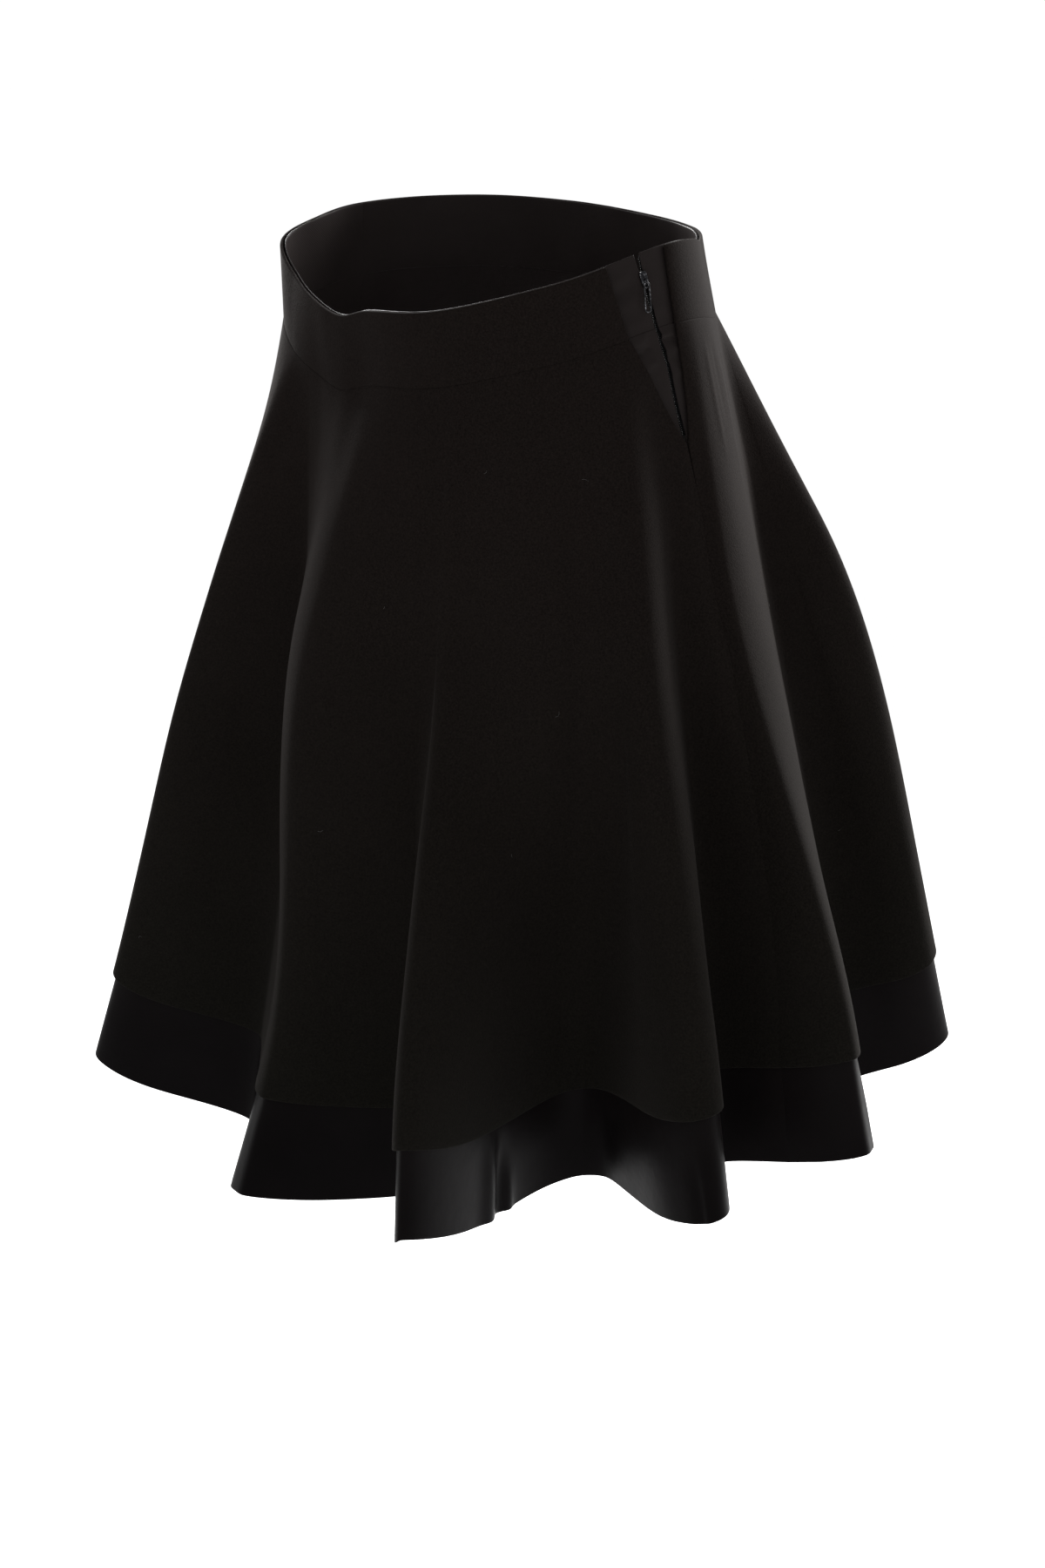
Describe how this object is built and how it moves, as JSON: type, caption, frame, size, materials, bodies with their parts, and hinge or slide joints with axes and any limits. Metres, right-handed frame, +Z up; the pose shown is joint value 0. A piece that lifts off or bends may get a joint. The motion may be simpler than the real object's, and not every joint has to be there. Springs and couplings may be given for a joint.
{
  "type": "flared skirt",
  "caption": "Black flared knee-length skirt: matte wool over a longer satin underskirt, shaped waistband, side zip opening with a small ring pull, waist and hem open.",
  "frame": {"origin": "middle of the waist loop, half way down the waistband, where the wearer holds the skirt up", "axes": "+Z up, the wearer faces -Y, the wearer's left side with the zip is +X"},
  "size_m": [0.5606, 0.4952, 0.5804],
  "materials": {
    "wool": "matte black wool crepe with a fine fuzz",
    "satin": "black satin with a soft sheen",
    "zip_tape": "black woven tape",
    "metal": "dark nickel, lightly worn"
  },
  "bodies": {
    "skirt": {"band_front": "wool", "band_back": "wool", "front_panel": "wool", "back_panel": "wool", "satin_band_front": "satin", "satin_band_back": "satin", "underskirt_front": "satin", "underskirt_back": "satin", "zip_tape_front": "zip_tape", "zip_tape_back": "zip_tape", "zip_slider": "metal"},
    "pull": {"zip_pull": "metal"}
  },
  "joints": [
    {"name": "pull_swing", "type": "hinge", "parent": "skirt", "child": "pull", "pos_m": [0.14281, -0.02038, 0.01466], "axis": [-0.1788, -0.9839, -0.0042], "range_deg": [0, 165]}
  ]
}
